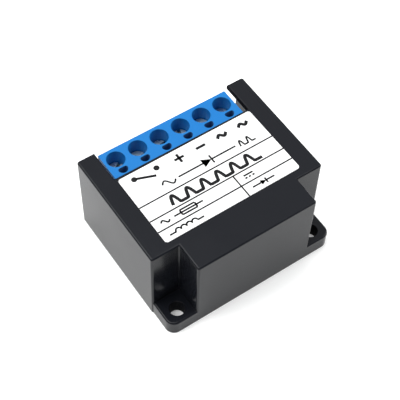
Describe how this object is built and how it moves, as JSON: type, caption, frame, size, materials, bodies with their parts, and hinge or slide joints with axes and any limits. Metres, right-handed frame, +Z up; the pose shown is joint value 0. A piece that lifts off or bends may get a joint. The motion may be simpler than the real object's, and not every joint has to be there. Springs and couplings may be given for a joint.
{
  "type": "rectifier diode module",
  "caption": "Black potted rectifier module with screw lugs at its front corners, a blue screw terminal with rising clamps let into the back of its top, and a white label.",
  "frame": {"origin": "middle of the case in plan, on the mounting plane under the lugs", "axes": "+X along the terminal row, +Y from the lugs towards the wire side, +Z up through the label"},
  "size_m": [0.04, 0.0336, 0.0203],
  "materials": {
    "case_plastic": "satin",
    "label_film": "matte",
    "terminal_plastic": "satin",
    "screw_steel": "satin",
    "cage_steel": "satin",
    "contact_brass": "satin",
    "board_laminate": "satin",
    "diode_moulding": "matte",
    "varistor_coating": "gloss",
    "potting_resin": "satin"
  },
  "bodies": {
    "module": {"housing": "case_plastic", "label": "label_film", "terminal_body": "terminal_plastic", "contact_1": "contact_brass", "contact_2": "contact_brass", "contact_3": "contact_brass", "contact_4": "contact_brass", "contact_5": "contact_brass", "contact_6": "contact_brass", "circuit_board": "board_laminate", "series_diode": "diode_moulding", "freewheel_diode": "diode_moulding", "input_varistor": "varistor_coating", "switch_varistor": "varistor_coating", "output_varistor": "varistor_coating", "potting": "potting_resin"},
    "screw_1": {"clamp_screw_1": "screw_steel"},
    "screw_2": {"clamp_screw_2": "screw_steel"},
    "screw_3": {"clamp_screw_3": "screw_steel"},
    "screw_4": {"clamp_screw_4": "screw_steel"},
    "screw_5": {"clamp_screw_5": "screw_steel"},
    "screw_6": {"clamp_screw_6": "screw_steel"},
    "cage_1": {"clamp_cage_1": "cage_steel"},
    "cage_2": {"clamp_cage_2": "cage_steel"},
    "cage_3": {"clamp_cage_3": "cage_steel"},
    "cage_4": {"clamp_cage_4": "cage_steel"},
    "cage_5": {"clamp_cage_5": "cage_steel"},
    "cage_6": {"clamp_cage_6": "cage_steel"}
  },
  "joints": [
    {"name": "screw_1_turn", "type": "hinge", "parent": "module", "child": "screw_1", "pos_m": [-0.0131, 0.01325, 0.0166], "axis": [0, 0, -1], "range_deg": [0, 1440]},
    {"name": "cage_1_rise", "type": "slide", "parent": "module", "child": "cage_1", "axis": [0, 0, 1], "range_m": [0, 0.002]},
    {"name": "screw_2_turn", "type": "hinge", "parent": "module", "child": "screw_2", "pos_m": [-0.00802, 0.01325, 0.0166], "axis": [0, 0, -1], "range_deg": [0, 1440]},
    {"name": "cage_2_rise", "type": "slide", "parent": "module", "child": "cage_2", "axis": [0, 0, 1], "range_m": [0, 0.002]},
    {"name": "screw_3_turn", "type": "hinge", "parent": "module", "child": "screw_3", "pos_m": [-0.00294, 0.01325, 0.0166], "axis": [0, 0, -1], "range_deg": [0, 1440]},
    {"name": "cage_3_rise", "type": "slide", "parent": "module", "child": "cage_3", "axis": [0, 0, 1], "range_m": [0, 0.002]},
    {"name": "screw_4_turn", "type": "hinge", "parent": "module", "child": "screw_4", "pos_m": [0.00214, 0.01325, 0.0166], "axis": [0, 0, -1], "range_deg": [0, 1440]},
    {"name": "cage_4_rise", "type": "slide", "parent": "module", "child": "cage_4", "axis": [0, 0, 1], "range_m": [0, 0.002]},
    {"name": "screw_5_turn", "type": "hinge", "parent": "module", "child": "screw_5", "pos_m": [0.00722, 0.01325, 0.0166], "axis": [0, 0, -1], "range_deg": [0, 1440]},
    {"name": "cage_5_rise", "type": "slide", "parent": "module", "child": "cage_5", "axis": [0, 0, 1], "range_m": [0, 0.002]},
    {"name": "screw_6_turn", "type": "hinge", "parent": "module", "child": "screw_6", "pos_m": [0.0123, 0.01325, 0.0166], "axis": [0, 0, -1], "range_deg": [0, 1440]},
    {"name": "cage_6_rise", "type": "slide", "parent": "module", "child": "cage_6", "axis": [0, 0, 1], "range_m": [0, 0.002]}
  ],
  "couplings": [
    {"joint": "screw_1_turn", "follows": "cage_1_rise", "rad_per_m": 12566},
    {"joint": "screw_2_turn", "follows": "cage_2_rise", "rad_per_m": 12566},
    {"joint": "screw_3_turn", "follows": "cage_3_rise", "rad_per_m": 12566},
    {"joint": "screw_4_turn", "follows": "cage_4_rise", "rad_per_m": 12566},
    {"joint": "screw_5_turn", "follows": "cage_5_rise", "rad_per_m": 12566},
    {"joint": "screw_6_turn", "follows": "cage_6_rise", "rad_per_m": 12566}
  ]
}
